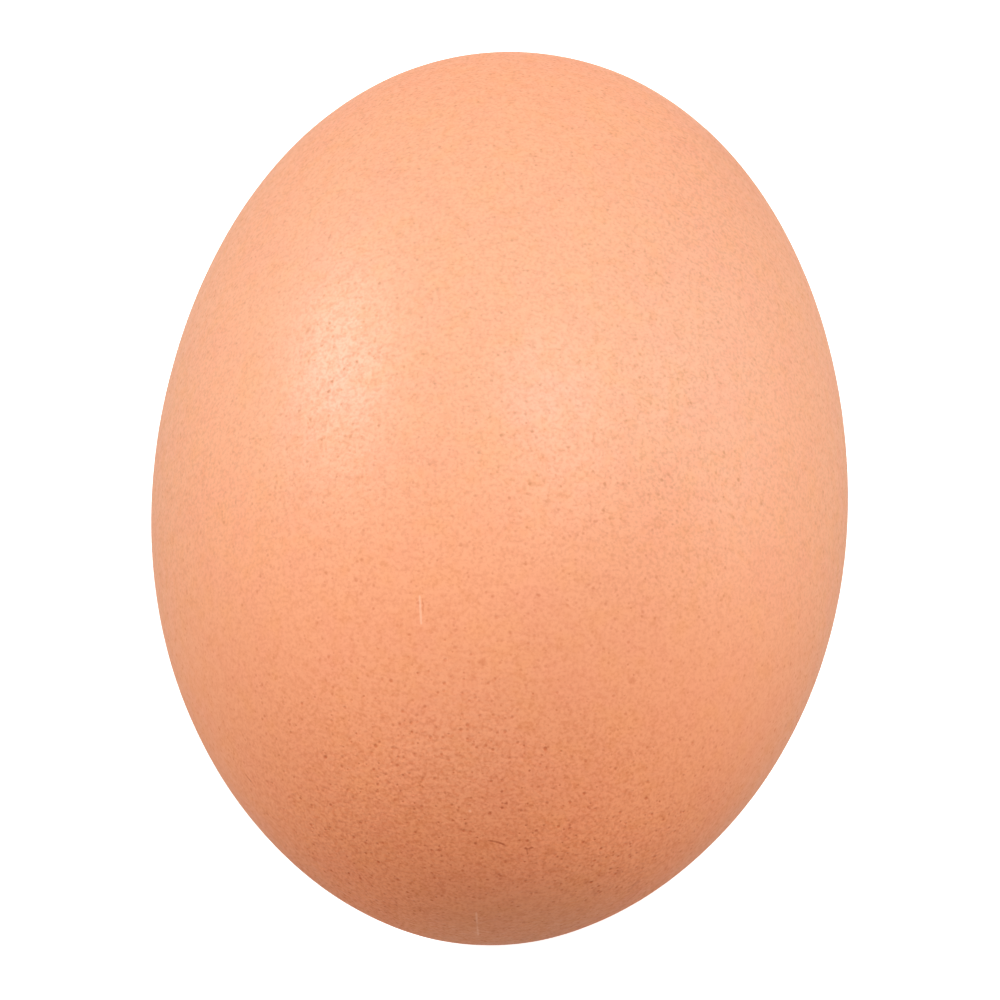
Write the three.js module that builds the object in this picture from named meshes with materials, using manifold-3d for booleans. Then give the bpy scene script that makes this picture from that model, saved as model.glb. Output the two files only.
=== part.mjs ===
// A brown hen's egg, lying on its side as an egg comes to rest on a table.
// Millimetres, +Z up. The blunt end points towards +Y and the pointed end towards -Y.
// The origin is the middle of the small flat spot that the egg rests on.

import * as THREE from "three";
import { mergeVertices } from "three/addons/utils/BufferGeometryUtils.js";
import Module from "manifold-3d";

// Driving dimensions: a large hen's egg.
const LENGTH = 58; // from pole to pole
const WIDTH = 43; // across the widest ring
const FLAT_DEPTH = 0.15; // how far the resting spot is cut into the round shell

// The outline is Preston's egg curve, an ellipse whose radius is multiplied by
// 1 + TAPER t + FULLNESS t^2 + SHOULDER t^3, where t runs from 1 at the blunt pole to -1.
const TAPER = -0.02; // where the widest ring lies: below 0 is past the middle, pointed side
const FULLNESS = 0.01; // fills out both ends alike
const SHOULDER = 0.072; // fills out the blunt end and draws in the pointed one

// Fineness of the faceted surface.
const SEGMENTS = 72; // around the axis
const RINGS = 48; // bands from pole to pole

// Shell finish.
const SHELL_COLOUR = 0xe8a87c; // warm tan
const SHELL_ROUGHNESS = 0.5;

const HALF_LENGTH = LENGTH / 2;
const HALF_WIDTH = WIDTH / 2;
const TABLE_SIZE = 2 * LENGTH; // the block that cuts the resting spot, larger than the egg

// The ring at an angle from the blunt pole: x is its radius and y its place on the axis.
function ringAt(angle) {
  const t = Math.cos(angle);
  const swell = 1 + TAPER * t + FULLNESS * t ** 2 + SHOULDER * t ** 3;
  return new THREE.Vector2(HALF_WIDTH * Math.sin(angle) * swell, HALF_LENGTH * t);
}

// The outline from the pointed pole to the blunt one, which is the order that a lathe
// needs for faces that point outwards. Both ends lie on the axis.
function outline(bands) {
  const points = [];
  for (let i = 0; i <= bands; i += 1) {
    points.push(ringAt(Math.PI * (1 - i / bands)));
  }
  points[0].x = 0;
  points[bands].x = 0;
  return points;
}

// Where the centre of mass of the solid egg lies on the axis: the mean place of thin
// discs, each weighted by its volume.
function centreOfMass() {
  const discs = outline(RINGS * 10);
  let volume = 0;
  let moment = 0;
  for (let i = 1; i < discs.length; i += 1) {
    const radius = (discs[i - 1].x + discs[i].x) / 2;
    const disc = radius ** 2 * (discs[i].y - discs[i - 1].y);
    volume += disc;
    moment += disc * (discs[i - 1].y + discs[i].y) / 2;
  }
  return moment / volume;
}

// The slope of the outline there: the change of radius for each step along the axis.
function slopeAt(angle) {
  const step = 1e-4;
  const before = ringAt(angle - step);
  const after = ringAt(angle + step);
  return (after.x - before.x) / (after.y - before.y);
}

// An egg comes to rest on the point of its side that lies straight under its centre of
// mass: there, the line square to the shell meets the axis at that centre.
function restingAngle(centre) {
  let blunt = Math.PI / 4;
  let pointed = (3 * Math.PI) / 4;
  while (pointed - blunt > 1e-9) {
    const middle = (blunt + pointed) / 2;
    const ring = ringAt(middle);
    const foot = ring.y + ring.x * slopeAt(middle);
    if (foot > centre) {
      blunt = middle;
    } else {
      pointed = middle;
    }
  }
  return (blunt + pointed) / 2;
}

// The whole round egg, turned on its side with its resting point FLAT_DEPTH under z = 0.
function roundEgg() {
  const egg = new THREE.LatheGeometry(outline(RINGS), SEGMENTS);
  const angle = restingAngle(centreOfMass());
  const contact = ringAt(angle);
  egg.translate(0, -contact.y, contact.x);
  egg.rotateX(Math.atan(slopeAt(angle)));
  egg.translate(0, 0, -FLAT_DEPTH);
  return egg;
}

// The block of space under the table's top.
function underTable() {
  const block = new THREE.BoxGeometry(TABLE_SIZE, TABLE_SIZE, TABLE_SIZE);
  block.translate(0, 0, -TABLE_SIZE / 2);
  return block;
}

const wasm = await Module();
wasm.setup();

// A closed geometry as a solid that can be cut.
function solidFrom(geometry) {
  geometry.deleteAttribute("normal");
  geometry.deleteAttribute("uv");
  const merged = mergeVertices(geometry);
  return new wasm.Manifold(
    new wasm.Mesh({
      numProp: 3,
      vertProperties: merged.attributes.position.array,
      triVerts: new Uint32Array(merged.index.array),
    }),
  );
}

// A solid as a geometry that can be shown.
function geometryFrom(solid) {
  const mesh = solid.getMesh();
  const geometry = new THREE.BufferGeometry();
  geometry.setAttribute("position", new THREE.BufferAttribute(mesh.vertProperties, 3));
  geometry.setIndex(new THREE.BufferAttribute(mesh.triVerts, 1));
  geometry.computeVertexNormals();
  return geometry;
}

// The egg: one closed shell with its small flat resting spot.
function makeEgg() {
  const solid = solidFrom(roundEgg()).subtract(solidFrom(underTable()));
  const shell = new THREE.MeshStandardMaterial({
    color: SHELL_COLOUR,
    roughness: SHELL_ROUGHNESS,
    metalness: 0,
  });
  const egg = new THREE.Mesh(geometryFrom(solid), shell);
  egg.name = "egg";
  return egg;
}

const root = new THREE.Group();
root.add(makeEgg());

export default root;
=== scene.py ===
"""A brown hen's egg resting on its side on a white floor, under soft studio lights.

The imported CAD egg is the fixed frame. It is replaced by one finely divided shell with the
same outline, slight waves in its surface, and a procedural shell material.
Everything is in metres. The origin is the flat spot that the egg rests on, the blunt end
points towards +Y and the camera looks down from the side of the pointed end.
"""

import math
import random

import bpy
import numpy as np
from mathutils import Matrix, Vector


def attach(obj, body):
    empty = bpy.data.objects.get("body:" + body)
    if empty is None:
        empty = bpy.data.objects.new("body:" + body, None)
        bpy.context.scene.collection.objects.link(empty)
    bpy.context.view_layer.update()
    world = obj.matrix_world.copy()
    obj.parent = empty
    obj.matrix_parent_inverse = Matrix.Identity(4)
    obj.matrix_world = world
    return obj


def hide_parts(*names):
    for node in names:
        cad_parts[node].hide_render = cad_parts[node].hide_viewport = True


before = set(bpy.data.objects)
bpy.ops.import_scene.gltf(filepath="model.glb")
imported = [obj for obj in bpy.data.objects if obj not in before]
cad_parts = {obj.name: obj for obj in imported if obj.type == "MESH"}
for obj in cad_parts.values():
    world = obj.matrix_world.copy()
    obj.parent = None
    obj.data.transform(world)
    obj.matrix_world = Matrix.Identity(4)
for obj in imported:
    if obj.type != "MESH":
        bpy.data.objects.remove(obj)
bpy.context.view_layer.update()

MM = 0.001

# The egg's outline, as in the CAD source (millimetres and pure numbers).
LENGTH = 58.0
WIDTH = 43.0
FLAT_DEPTH = 0.15
TAPER = -0.02
FULLNESS = 0.01
SHOULDER = 0.072

# Fineness of the sums that find how the egg comes to rest: the step for slopes (radians),
# the number of thin discs, and how closely the angle is found (radians).
SLOPE_STEP = 1e-4
DISCS = 480
ANGLE_ERROR = 1e-9

# The fineness of the shell: squares along each edge of the cube that it is blown up from.
CUBE_SQUARES = 128

# Slow waves in the shell's surface: (wavelength mm, height mm). They only go inwards. Each
# size is the sum of waves in many directions, cut off at WAVE_PEAK standard deviations.
WAVES = ((14.0, 0.05), (6.0, 0.016), (2.4, 0.004))
WAVES_PER_SIZE = 28
WAVE_PEAK = 2.5
WAVE_SEED = 7

# The shell's colour at the middle of its length, and how it changes towards the blunt end
# (TILT) and towards both ends (CURVE), in linear red, green and blue.
COLOUR_MIDDLE = (0.619, 0.2885, 0.1695)
COLOUR_TILT = (-0.084, -0.023, -0.003)
COLOUR_CURVE = (0.058, -0.045, -0.055)

# The camera: its height angle and how far round it stands from -Y towards +X (degrees), how
# far it is from the point that it aims at (metres), its lens and sensor (mm), the nearest
# thing that it sees (metres), and how far beside the egg's middle that point lies.
CAMERA_ELEVATION = 64.67
CAMERA_TURN = 2.94
CAMERA_DISTANCE = 0.301
CAMERA_LENS = 175.04
CAMERA_SENSOR = 36.0
CAMERA_CLIP = 0.01
AIM_RIGHT = -0.031 * MM
AIM_UP = -0.471 * MM

# Soft boxes, all facing the egg's middle from LIGHT_DISTANCE metres: name, compass angle (0 is
# +Y, 90 is +X), angle above the table, width and height in metres, watts.
LIGHT_DISTANCE = 0.8
LIGHTS = (
    ("key_core", -56, 28, 0.10, 0.12, 2.32),
    ("key", -66, 37, 0.22, 0.28, 3.08),
    ("top_core", 32, 66, 0.12, 0.12, 0.75),
    ("top", 62, 66, 0.36, 0.36, 3.30),
    ("right", 80, 12, 0.30, 0.30, 1.20),
    ("right_back", 60, 32, 0.12, 0.12, 1.40),
    ("right_rim", 56, 6, 0.40, 0.10, 0.75),
    ("front", 190, 25, 0.50, 0.30, 0.79),
    ("front_left", 235, 22, 0.30, 0.30, 0.24),
)

# The pale room: the colour and strength of its light. The camera sees it as plain white.
WORLD_COLOUR = (1.0, 0.96, 0.91)
WORLD_STRENGTH = 0.563

# The floor that the camera sees and the darker one, FLOOR_GAP under it, that lights the egg:
# half a side in metres, then the colour and glow of each.
FLOOR_HALF = 2.0
FLOOR_SEEN = ((0.85, 0.85, 0.85), 0.60)
FLOOR_BOUNCE = ((0.45, 0.37, 0.31), 0.0)
FLOOR_GAP = 0.05 * MM


# ---------------------------------------------------------------- the egg's shape


def swell(t):
    """The egg's radius as a share of an ellipse's, at t from 1 (blunt pole) to -1."""
    return 1 + TAPER * t + FULLNESS * t**2 + SHOULDER * t**3


def ring(angle):
    """Radius and place on the axis, in mm, at an angle from the blunt pole."""
    t = math.cos(angle)
    return WIDTH / 2 * math.sin(angle) * swell(t), LENGTH / 2 * t


def slope(angle):
    """Change of radius for each step along the axis."""
    r0, y0 = ring(angle - SLOPE_STEP)
    r1, y1 = ring(angle + SLOPE_STEP)
    return (r1 - r0) / (y1 - y0)


def centre_of_mass():
    """Place of the solid egg's centre of mass on the axis, in mm, from thin discs."""
    rings = [ring(math.pi * i / DISCS) for i in range(DISCS + 1)]
    volume = moment = 0.0
    for (r0, y0), (r1, y1) in zip(rings, rings[1:]):
        disc = ((r0 + r1) / 2) ** 2 * (y0 - y1)
        volume += disc
        moment += disc * (y0 + y1) / 2
    return moment / volume


def resting_angle():
    """The angle of the ring that the egg rests on, straight under its centre of mass."""
    centre = centre_of_mass()
    # The angle lies between these two, which close in on it.
    blunt, pointed = math.pi / 4, 3 * math.pi / 4
    while pointed - blunt > ANGLE_ERROR:
        middle = (blunt + pointed) / 2
        r, y = ring(middle)
        if y + r * slope(middle) > centre:
            blunt = middle
        else:
            pointed = middle
    return (blunt + pointed) / 2


def egg_placement():
    """Matrix from the egg's own axes (mid-length at the origin, along +Y) to the frame."""
    angle = resting_angle()
    r, y = ring(angle)
    lift = Matrix.Translation((0, -y * MM, r * MM))
    tilt = Matrix.Rotation(math.atan(slope(angle)), 4, "X")
    drop = Matrix.Translation((0, 0, -FLAT_DEPTH * MM))
    return drop @ tilt @ lift


# The egg's place in the frame, its middle, and the direction in which its blunt end points.
PLACEMENT = egg_placement()
EGG_CENTRE = PLACEMENT @ Vector((0, 0, 0))
EGG_AXIS = (PLACEMENT.to_3x3() @ Vector((0, 1, 0))).normalized()


def on_shell(angle, turn):
    """A point of the shell, by degrees from the blunt pole and degrees round from the top."""
    radius, along = ring(math.radians(angle))
    a = math.radians(turn)
    return PLACEMENT @ (Vector((radius * math.sin(a), along, radius * math.cos(a))) * MM)


# ---------------------------------------------------------------- the shell's mesh


def cube_lattice(n):
    """Points and squares of a cube's surface, as whole numbers from 0 to n."""
    points, faces = {}, []

    def index(p):
        return points.setdefault(p, len(points))

    for axis in range(3):
        for side in (0, n):
            for i in range(n):
                for j in range(n):
                    corners = []
                    for a, b in ((0, 0), (1, 0), (1, 1), (0, 1)):
                        p = [i + a, j + b]
                        p.insert(axis, side)
                        corners.append(index(tuple(p)))
                    # The middle axis is inserted between the others, which mirrors it.
                    outward = (side == n) != (axis == 1)
                    faces.append(corners if outward else corners[::-1])
    return list(points), faces


def waves(points):
    """The depth of the slow waves at each point, in mm, from 0 inwards."""
    dice = random.Random(WAVE_SEED)
    depth = np.zeros(len(points))
    for wavelength, height in WAVES:
        total = np.zeros(len(points))
        for _ in range(WAVES_PER_SIZE):
            way = np.array([dice.gauss(0, 1) for _ in range(3)])
            way *= 2 * math.pi / wavelength / np.linalg.norm(way)
            total += np.sin(points @ way + dice.uniform(0, 2 * math.pi))
        total /= math.sqrt(WAVES_PER_SIZE / 2)
        depth += height * np.clip((total + WAVE_PEAK) / (2 * WAVE_PEAK), 0, 1)
    return depth


def shell_mesh():
    """The shell: a cube's lattice blown up to the egg, then placed and cut flat at z = 0."""
    n = CUBE_SQUARES
    lattice, faces = cube_lattice(n)
    # The lines are set at equal angles, so the squares come out about equal in size.
    cube = np.tan((np.array(lattice, float) / n * 2 - 1) * math.pi / 4)
    sphere = cube / np.linalg.norm(cube, axis=1)[:, None]
    t = sphere[:, 1]
    local = np.stack(
        (
            WIDTH / 2 * swell(t) * sphere[:, 0],
            LENGTH / 2 * t,
            WIDTH / 2 * swell(t) * sphere[:, 2],
        ),
        axis=1,
    )
    local *= 1 - (waves(local) / np.linalg.norm(local, axis=1))[:, None]
    turn = np.array(PLACEMENT.to_3x3())
    placed = local * MM @ turn.T + np.array(PLACEMENT.translation)
    placed[:, 2] = np.maximum(placed[:, 2], 0)
    mesh = bpy.data.meshes.new("eggshell")
    mesh.from_pydata(placed.tolist(), [], faces)
    mesh.polygons.foreach_set("use_smooth", [True] * len(mesh.polygons))
    mesh.update()
    return mesh


# ---------------------------------------------------------------- node helpers


class Tree:
    """Adds nodes to a material or world. An input is a number, a tuple or a node's output."""

    def __init__(self, owner):
        owner.use_nodes = True
        self.tree = owner.node_tree
        self.tree.nodes.clear()

    def add(self, kind, inputs=None, **settings):
        """A new node. Its inputs are linked or set, by name or number."""
        node = self.tree.nodes.new(kind)
        for name, value in settings.items():
            setattr(node, name, value)
        for key, value in (inputs or {}).items():
            socket = node.inputs[key]
            if isinstance(value, bpy.types.NodeSocket):
                self.tree.links.new(value, socket)
            else:
                socket.default_value = value
        return node

    def math(self, operation, a, b=0.0, c=0.0):
        """The result of an operation on up to three numbers."""
        return self.add("ShaderNodeMath", {0: a, 1: b, 2: c}, operation=operation).outputs[0]

    def vector(self, operation, a, b=(0, 0, 0), c=(0, 0, 0)):
        """The result of an operation on up to three vectors or colours: a vector or a number."""
        node = self.add("ShaderNodeVectorMath", {0: a, 1: b, 2: c}, operation=operation)
        gives_number = operation in ("DOT_PRODUCT", "LENGTH", "DISTANCE")
        return node.outputs[1 if gives_number else 0]

    def ramp(self, value, start, end, low=0.0, high=1.0):
        """Goes smoothly from low to high as the value goes from start to end."""
        inputs = {0: value, 1: start, 2: end, 3: low, 4: high}
        return self.add("ShaderNodeMapRange", inputs, interpolation_type="SMOOTHSTEP").outputs[0]

    def noise(self, place, size, detail, roughness):
        """Noise about 0.5, with bumps of the given size in mm."""
        scale = 1 / (size * MM)
        inputs = {"Vector": place, "Scale": scale, "Detail": detail, "Roughness": roughness}
        return self.add("ShaderNodeTexNoise", inputs).outputs["Fac"]

    def cells(self, place, size):
        """Distance to the nearest of scattered points, in cells, and two random numbers."""
        node = self.add("ShaderNodeTexVoronoi", {"Vector": place, "Scale": 1 / (size * MM)})
        parts = self.add("ShaderNodeSeparateColor", {0: node.outputs["Color"]})
        return node.outputs["Distance"], parts.outputs[0], parts.outputs[1]

    def tint(self, colour, factor, by):
        """Multiplies the colour by another one, as far as factor says."""
        return self.mix(factor, colour, by, "MULTIPLY")

    def mix(self, factor, first, second, blend_type="MIX"):
        """Goes from the first colour to the second as factor goes from 0 to 1."""
        first, second = ((*c, 1) if isinstance(c, tuple) else c for c in (first, second))
        # The node's colour sockets are its inputs 6 and 7 and its output 2.
        inputs = {0: factor, 6: first, 7: second}
        return self.add("ShaderNodeMix", inputs, data_type="RGBA", blend_type=blend_type).outputs[2]


# ---------------------------------------------------------------- the shell's marks

# Each mark is a half width in mm and one point (a spot) or more (a stroke) of the shell:
# degrees from the blunt pole, and degrees round from the top towards +X.
# Among the pale marks are two painted glints in the highlights.
PALE_MARKS_AND_GLINTS = (
    (0.09, (123.7, -12.4), (127.0, -12.4)),
    (0.09, (175.1, 1.5), (175.1, 174.7)),
    # A painted glint in the first highlight.
    (0.11, (89.9, -22.4)),
    (0.11, (152.9, -2.8)),
    # A painted glint: a pale streak in the second highlight.
    (0.06, (94.1, 4.8), (94.9, 5.8)),
)
# Pits and cracks, darkened with painted shade.
HOLLOW_MARKS = (
    (0.10, (137.2, -77.4), (138.8, -77.0)),
    (0.10, (157.9, 5.1), (158.0, 8.9), (158.5, 12.8)),
    (0.11, (158.3, 21.2), (158.5, 22.9), (159.3, 23.8)),
    (0.10, (158.5, 22.9), (158.0, 23.8)),
    (0.15, (154.9, 22.5)),
    (0.15, (155.1, -4.3)),
    (0.14, (160.9, -17.7)),
    (0.13, (149.4, 6.9)),
    (0.13, (151.2, 9.1)),
)
BROWN_SPOTS_AND_SHADOW = (
    (0.36, (131.9, -0.4)),
    (0.42, (157.7, 32.9)),
    (0.30, (131.0, 31.8)),
    (0.30, (122.9, 84.6)),
    (0.35, (159.8, 77.9)),
    (0.38, (155.2, 71.8)),
    (0.32, (159.8, 64.3)),
    (0.26, (153.0, 87.5), (154.6, 91.3)),
    # The last is no spot but a painted shadow: the dark line beside the pale scratch.
    (0.08, (124.0, -11.9), (125.8, -11.9)),
)

# A faint ring: its middle, its radius in mm, and how far from its line it has faded out, as
# a share of the radius.
RING_MARK = (60.7, 15.7)
RING_RADIUS = 0.22
RING_EDGE = 0.5

# Where the fade at the marks' edges starts, as a share of the half width, and how far noise
# moves the edges.
MARK_EDGE = 0.2
PALE_EDGE = 0.4
MARK_WANDER = (0.3 * MM, 0.2 * MM, -0.2 * MM)

# Brown speckles on the underside, laid out as the pores are, and the heights over the table
# where they start to fade and are gone.
UNDERSIDE_SPECKLES = (5.0, 0.10, 0.55, 1.0)
UNDERSIDE_HEIGHT = (10 * MM, 16 * MM)

# The marks' tints. The pale ones go PALE_SHARE of the way to their own colour. The hollows'
# tint is painted shade in the pits and cracks.
PALE_COLOUR = (0.93, 0.70, 0.56)
PALE_SHARE = 0.18
HOLLOW_SHADE_TINT = (0.66, 0.50, 0.42)
# The brown tint also darkens the painted shadow beside the scratch.
BROWN_TINT = (0.86, 0.76, 0.70)
RING_TINT = (0.93, 0.80, 0.78)


def away_from(tree, place, a, b):
    """How far each point lies from the straight line between two points."""
    from_a = tree.vector("SUBTRACT", place, tuple(a))
    if a == b:
        return tree.vector("LENGTH", from_a)
    way = b - a
    share = tree.vector("DOT_PRODUCT", from_a, tuple(way / way.length_squared))
    share = tree.add("ShaderNodeClamp", {0: share}).outputs[0]
    nearest = tree.vector("MULTIPLY", share, tuple(way))
    return tree.vector("DISTANCE", from_a, nearest)


def marks(tree, place, shapes, edge):
    """1 inside any of the marks and 0 outside, with a fade that starts at edge."""
    total = None
    for width, *points in shapes:
        ends = [on_shell(*p) for p in points]
        # A spot's line starts and ends at its one point.
        for a, b in zip(ends[:-1] or ends, ends[1:] or ends):
            far = away_from(tree, place, a, b)
            mask = tree.ramp(far, edge * width * MM, width * MM, 1.0, 0.0)
            total = mask if total is None else tree.math("MAXIMUM", total, mask)
    return total


def ring_mark(tree, place):
    """A faint ring, as a drop leaves."""
    far = away_from(tree, place, on_shell(*RING_MARK), on_shell(*RING_MARK))
    off = tree.math("ABSOLUTE", tree.math("SUBTRACT", far, RING_RADIUS * MM))
    return tree.ramp(off, 0.0, RING_EDGE * RING_RADIUS * MM, 1.0, 0.0)


# ---------------------------------------------------------------- the shell's material

# Roughness: of the bare shell, its change with the dark clouds (the noise at which it starts
# and is done, and the change before and after), and what grain and pores add to it.
SHELL_ROUGHNESS = 0.44
CLOUD_ROUGHNESS = (0.3, 0.7, -0.04, 0.04)
GRAIN_ROUGHNESS = 0.11
PORE_ROUGHNESS = 0.4
SHELL_SPECULAR = 0.30

# The dry bloom on the shell, seen as a faint paleness where the shell curves away.
BLOOM_SHEEN = 0.05
BLOOM_SHEEN_ROUGHNESS = 0.3

# Clouds: size in mm, the noise at which they start and are full, and their tint. For all of
# them, the noise's detail and roughness.
PINK_CLOUDS = (3.2, (0.42, 0.70), (1.0, 0.975, 1.005))
YELLOW_CLOUDS = (1.8, (0.45, 0.72), (1.0, 1.005, 0.935))
DARK_CLOUDS = (0.9, (0.40, 0.75), (0.985, 0.966, 0.955))
CLOUD_DETAIL = (2.0, 0.6)

# Soft patches: the middle (angles as for the marks), how far it is full and where it has
# faded out, and its tint. One is a greyer cast under the pointed end, painted bounce light
# from the floor, and the other a paler place on top, a painted highlight.
BOUNCE_LIGHT_PLACE = (172, 130)
HIGHLIGHT_PLACE = (98, 7)
PAINTED_LIGHT_PATCHES = (
    (BOUNCE_LIGHT_PLACE, (2.0 * MM, 10.5 * MM), (0.785, 0.87, 0.965)),
    (HIGHLIGHT_PLACE, (0.5 * MM, 4.5 * MM), (1.0, 1.025, 1.115)),
)

# Grain and pores tint less round the painted bounce light: where, and the share of the tint
# left in its middle.
SMOOTH_TIP = (BOUNCE_LIGHT_PLACE, (3.0 * MM, 9.0 * MM))
SMOOTH_STRENGTH = 0.6

# Pores: cell in mm, radius in cells, share of cells that stay blank, darkness. The smallest
# have PORE_SPREAD of the full radius, and each is full to PORE_CORE of its own radius.
FINE_PORES = (0.36, 0.45, 0.10, 0.8)
WIDE_PORES = (0.75, 0.25, 0.30, 1.0)
PORE_SPREAD = 0.55
PORE_CORE = 0.2

# Grain at two sizes: its bumps in mm, the noise's detail and roughness, and the noise at
# which the tint starts and is full.
GRAIN_SIZE = 0.20
GRAIN_DETAIL = (1.0, 0.5)
GRAIN_RAMP = (0.40, 0.72)
COARSE_SIZE = 0.45
COARSE_DETAIL = (1.0, 0.5)
COARSE_RAMP = (0.40, 0.75)
COARSE_TINT = (0.94, 0.90, 0.87)

# Tints at the pointed end and at the blunt end, and the places on the axis (-1 to 1) where
# the change starts and is done.
# Their darkening is partly the shell's own colour and partly painted shade of pits and grain.
PORE_TINTS = ((0.74, 0.56, 0.46), (0.66, 0.715, 0.68))
GRAIN_TINTS = ((0.89, 0.79, 0.73), (0.71, 0.77, 0.73))
TINT_CHANGE = (-0.65, -0.15)

# Relief: sizes, heights and depth of grain, pores and dimples in mm, and the noise's detail
# and roughness.
RELIEF_SIZE = 0.27
RELIEF_HEIGHT = 0.020
RELIEF_DETAIL = (1.0, 0.5)
PORE_DEPTH = 0.014
DIMPLE_SIZE = 1.6
DIMPLE_HEIGHT = 0.020
DIMPLE_DETAIL = (2.0, 0.5)

# Tints and relief are strongest at the pointed end: (place on the axis where the change
# starts, where it is done, strength before it, strength after it).
# Part of the extra tint at the pointed end is painted shade: raking light shades grain and pits
# there.
TINT_FADE = (-0.6, -1.0, 0.61, 1.3)
RELIEF_FADE = (-0.55, -1.0, 0.7, 2.4)
# To both sides of the shell's top line both are fainter: (metres to the side where the
# change starts, where it is done, strength before it, strength after it).
SIDE_FADE = (8 * MM, 19 * MM, 1.0, 0.72)


def place_on_axis(tree, place):
    """Place on the egg's axis, from -1 at the pointed end to 1 at the blunt end."""
    from_centre = tree.vector("SUBTRACT", place, tuple(EGG_CENTRE))
    along = tree.vector("DOT_PRODUCT", from_centre, tuple(EGG_AXIS))
    return tree.math("DIVIDE", along, LENGTH / 2 * MM)


def side_share(tree, place):
    """How strong tints and relief are, by how far to the side each point lies."""
    sideways = tree.math("ABSOLUTE", tree.vector("DOT_PRODUCT", place, (1, 0, 0)))
    return tree.ramp(sideways, *SIDE_FADE)


def soft_patch(tree, place, middle, reach):
    """1 in the middle of a patch of the shell, fading to 0 round it."""
    far = away_from(tree, place, on_shell(*middle), on_shell(*middle))
    return tree.ramp(far, *reach, 1.0, 0.0)


def pores(tree, place, layer):
    """How deep in a pore each point is, from 0 to 1."""
    cell, radius, blank, darkness = layer
    distance, chance, size = tree.cells(place, cell)
    reach = tree.ramp(size, 0.0, 1.0, PORE_SPREAD * radius, radius)
    inside = tree.ramp(tree.math("DIVIDE", distance, reach), PORE_CORE, 1.0, 1.0, 0.0)
    strength = tree.ramp(chance, blank, 1.0, 0.0, darkness)
    return tree.math("MULTIPLY", inside, strength)


def all_pores(tree, place):
    """The fine and the wide pores together."""
    fine = pores(tree, place, FINE_PORES)
    wide = pores(tree, place, WIDE_PORES)
    return tree.math("MAXIMUM", fine, wide)


def ground_colour(tree, place, along):
    """The colour with painted light patches but without grain, pores and marks, and the dark
    clouds' noise, the last.
    """
    colour = tree.vector("MULTIPLY_ADD", along, COLOUR_CURVE, COLOUR_TILT)
    colour = tree.vector("MULTIPLY_ADD", colour, along, COLOUR_MIDDLE)
    for size, ramp, by in (PINK_CLOUDS, YELLOW_CLOUDS, DARK_CLOUDS):
        cloud = tree.noise(place, size, *CLOUD_DETAIL)
        colour = tree.tint(colour, tree.ramp(cloud, *ramp), by)
    # The patches are painted light: bounce light under the pointed end and a highlight on top.
    for middle, reach, by in PAINTED_LIGHT_PATCHES:
        colour = tree.tint(colour, soft_patch(tree, place, middle, reach), by)
    return colour, cloud


def tint_strength(tree, place, along, side):
    """How strongly grain and pores tint the shell at each point."""
    smooth = soft_patch(tree, place, *SMOOTH_TIP)
    strength = tree.ramp(along, *TINT_FADE)
    strength = tree.math("MULTIPLY", strength, tree.ramp(smooth, 0.0, 1.0, 1.0, SMOOTH_STRENGTH))
    return tree.math("MULTIPLY", strength, side)


def add_texture(tree, along, grain, coarse, pore, colour):
    """Adds grain at two sizes and pores to the colour, in tints that change from end to end."""
    blunt = tree.ramp(along, *TINT_CHANGE)
    colour = tree.tint(colour, grain, tree.mix(blunt, *GRAIN_TINTS))
    colour = tree.tint(colour, coarse, COARSE_TINT)
    return tree.tint(colour, pore, tree.mix(blunt, *PORE_TINTS))


def add_marks(tree, place, noise, colour):
    """Adds the marks (some are painted shade and glints), whose edges the noise moves a little, and
    the underside's speckles.
    """
    wander = tree.math("SUBTRACT", noise, 0.5)
    moved = tree.vector("MULTIPLY_ADD", wander, MARK_WANDER, place)
    brown = marks(tree, moved, BROWN_SPOTS_AND_SHADOW, MARK_EDGE)
    height = tree.vector("DOT_PRODUCT", place, (0, 0, 1))
    under = tree.ramp(height, *UNDERSIDE_HEIGHT, 1.0, 0.0)
    speckle = tree.math("MULTIPLY", pores(tree, place, UNDERSIDE_SPECKLES), under)
    colour = tree.tint(colour, tree.math("MAXIMUM", brown, speckle), BROWN_TINT)
    colour = tree.tint(colour, ring_mark(tree, moved), RING_TINT)
    colour = tree.tint(colour, marks(tree, moved, HOLLOW_MARKS, MARK_EDGE), HOLLOW_SHADE_TINT)
    pale = tree.math("MULTIPLY", marks(tree, place, PALE_MARKS_AND_GLINTS, PALE_EDGE), PALE_SHARE)
    return tree.mix(pale, colour, PALE_COLOUR)


def relief(tree, place, along, side, pore):
    """The normal of the shell with its grain, pits at the pores and shallow dimples."""
    grain = tree.noise(place, RELIEF_SIZE, *RELIEF_DETAIL)
    height = tree.math("MULTIPLY", pore, -PORE_DEPTH)
    height = tree.math("MULTIPLY_ADD", grain, RELIEF_HEIGHT, height)
    height = tree.math("MULTIPLY", height, tree.ramp(along, *RELIEF_FADE))
    height = tree.math("MULTIPLY", height, side)
    dimples = tree.noise(place, DIMPLE_SIZE, *DIMPLE_DETAIL)
    height = tree.math("MULTIPLY_ADD", dimples, DIMPLE_HEIGHT, height)
    bump = {"Strength": 1.0, "Distance": MM, "Height": height}
    return tree.add("ShaderNodeBump", bump).outputs[0]


def gloss(tree, cloud, grain, pore):
    """The shell's roughness."""
    start, end, low, high = CLOUD_ROUGHNESS
    roughness = tree.ramp(cloud, start, end, SHELL_ROUGHNESS + low, SHELL_ROUGHNESS + high)
    roughness = tree.math("MULTIPLY_ADD", pore, PORE_ROUGHNESS, roughness)
    return tree.math("MULTIPLY_ADD", grain, GRAIN_ROUGHNESS, roughness)


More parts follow.
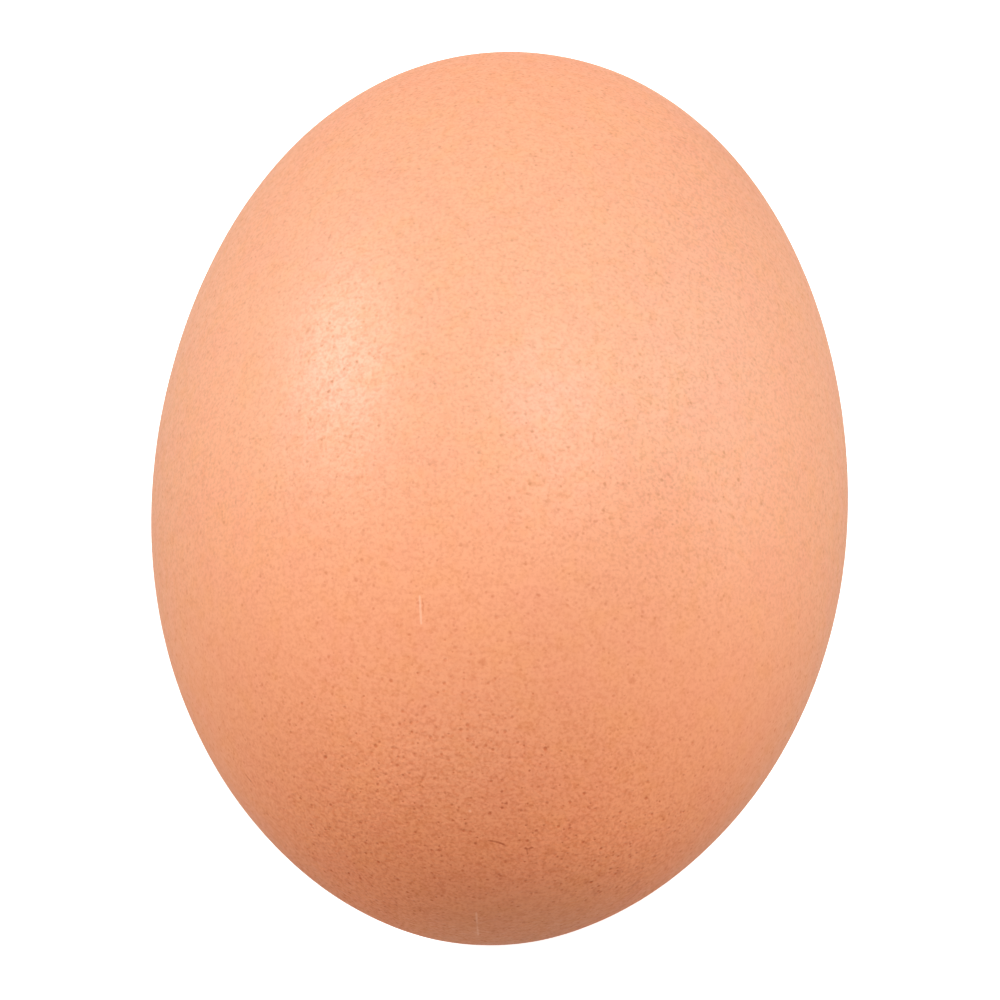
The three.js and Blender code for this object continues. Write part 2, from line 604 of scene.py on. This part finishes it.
def shell_material():
    """The shell: ground colour with painted light patches, grain at two sizes, pores, marks, gloss
    and relief.
    """
    material = bpy.data.materials.new("brown_eggshell")
    tree = Tree(material)
    place = tree.add("ShaderNodeTexCoord").outputs["Object"]
    along = place_on_axis(tree, place)
    side = side_share(tree, place)
    strength = tint_strength(tree, place, along, side)
    grain = tree.ramp(tree.noise(place, GRAIN_SIZE, *GRAIN_DETAIL), *GRAIN_RAMP)
    grain = tree.math("MULTIPLY", grain, strength)
    coarse_noise = tree.noise(place, COARSE_SIZE, *COARSE_DETAIL)
    coarse = tree.math("MULTIPLY", tree.ramp(coarse_noise, *COARSE_RAMP), strength)
    pore = all_pores(tree, place)
    dark = tree.math("MULTIPLY", pore, strength)

    colour, cloud = ground_colour(tree, place, along)
    colour = add_texture(tree, along, grain, coarse, dark, colour)
    colour = add_marks(tree, place, coarse_noise, colour)

    inputs = {
        "Base Color": colour,
        "Roughness": gloss(tree, cloud, grain, pore),
        "Normal": relief(tree, place, along, side, pore),
        "Specular IOR Level": SHELL_SPECULAR,
        "Sheen Weight": BLOOM_SHEEN,
        "Sheen Roughness": BLOOM_SHEEN_ROUGHNESS,
    }
    shader = tree.add("ShaderNodeBsdfPrincipled", inputs)
    tree.add("ShaderNodeOutputMaterial", {"Surface": shader.outputs[0]})
    return material


# ---------------------------------------------------------------- the studio


def make_camera():
    """The camera, aimed at the egg's middle from above the pointed end."""
    turn, height = math.radians(CAMERA_TURN), math.radians(CAMERA_ELEVATION)
    forward = Vector(
        (-math.sin(turn) * math.cos(height), math.cos(turn) * math.cos(height), -math.sin(height))
    )
    right = Vector((math.cos(turn), math.sin(turn), 0))
    up = right.cross(forward)
    data = bpy.data.cameras.new("camera")
    data.lens = CAMERA_LENS
    data.sensor_width = CAMERA_SENSOR
    data.clip_start = CAMERA_CLIP
    camera = bpy.data.objects.new("camera", data)
    bpy.context.scene.collection.objects.link(camera)
    aim = EGG_CENTRE + right * AIM_RIGHT + up * AIM_UP
    turned = Matrix((right, up, -forward)).transposed().to_4x4()
    camera.matrix_world = Matrix.Translation(aim - forward * CAMERA_DISTANCE) @ turned
    bpy.context.scene.camera = camera


def make_lights():
    """The soft boxes, all at one distance and facing the egg."""
    for name, compass, height, width, tall, watts in LIGHTS:
        a, e = math.radians(compass), math.radians(height)
        way = Vector((math.sin(a) * math.cos(e), math.cos(a) * math.cos(e), math.sin(e)))
        data = bpy.data.lights.new(name, "AREA")
        data.shape = "RECTANGLE"
        data.size, data.size_y, data.energy = width, tall, watts
        light = bpy.data.objects.new(name, data)
        bpy.context.scene.collection.objects.link(light)
        turned = way.to_track_quat("Z", "Y").to_matrix().to_4x4()
        light.matrix_world = Matrix.Translation(EGG_CENTRE + way * LIGHT_DISTANCE) @ turned


def make_world():
    """A white room: seen as white, and giving a weak light from all round."""
    world = bpy.data.worlds.new("room")
    bpy.context.scene.world = world
    tree = Tree(world)
    seen = tree.add("ShaderNodeBackground", {"Color": (1, 1, 1, 1), "Strength": 1.0})
    lit = tree.add(
        "ShaderNodeBackground", {"Color": (*WORLD_COLOUR, 1), "Strength": WORLD_STRENGTH}
    )
    from_camera = tree.add("ShaderNodeLightPath").outputs["Is Camera Ray"]
    mix = tree.add("ShaderNodeMixShader", {0: from_camera, 1: lit.outputs[0], 2: seen.outputs[0]})
    tree.add("ShaderNodeOutputWorld", {"Surface": mix.outputs[0]})


def floor_plane(name, height, colour, glow):
    """A square of floor, with a matt material that may glow a little."""
    around = ((-1, -1), (1, -1), (1, 1), (-1, 1))
    corners = [(x * FLOOR_HALF, y * FLOOR_HALF, height) for x, y in around]
    mesh = bpy.data.meshes.new(name)
    mesh.from_pydata(corners, [], [(0, 1, 2, 3)])
    floor = bpy.data.objects.new(name, mesh)
    bpy.context.scene.collection.objects.link(floor)
    material = bpy.data.materials.new(name)
    tree = Tree(material)
    inputs = {
        "Base Color": (*colour, 1),
        "Roughness": 1.0,
        "Specular IOR Level": 0.0,
        "Emission Color": (1, 1, 1, 1),
        "Emission Strength": glow,
    }
    shader = tree.add("ShaderNodeBsdfPrincipled", inputs)
    tree.add("ShaderNodeOutputMaterial", {"Surface": shader.outputs[0]})
    mesh.materials.append(material)
    return floor


def make_floor():
    """The white floor that is seen, and a darker one just under it that lights the egg."""
    seen = floor_plane("floor_seen", 0.0, *FLOOR_SEEN)
    seen.visible_diffuse = False
    seen.visible_glossy = False
    seen.visible_transmission = False
    seen.visible_shadow = False
    bounce = floor_plane("floor_bounce", -FLOOR_GAP, *FLOOR_BOUNCE)
    bounce.visible_camera = False


def make_egg():
    """The shell, which rides on the egg's body and stands for its CAD node."""
    mesh = shell_mesh()
    mesh.materials.append(shell_material())
    shell = bpy.data.objects.new("eggshell", mesh)
    bpy.context.scene.collection.objects.link(shell)
    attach(shell, "root")
    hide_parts("egg")


bpy.context.scene.view_settings.view_transform = "Standard"
make_camera()
make_lights()
make_world()
make_floor()
make_egg()
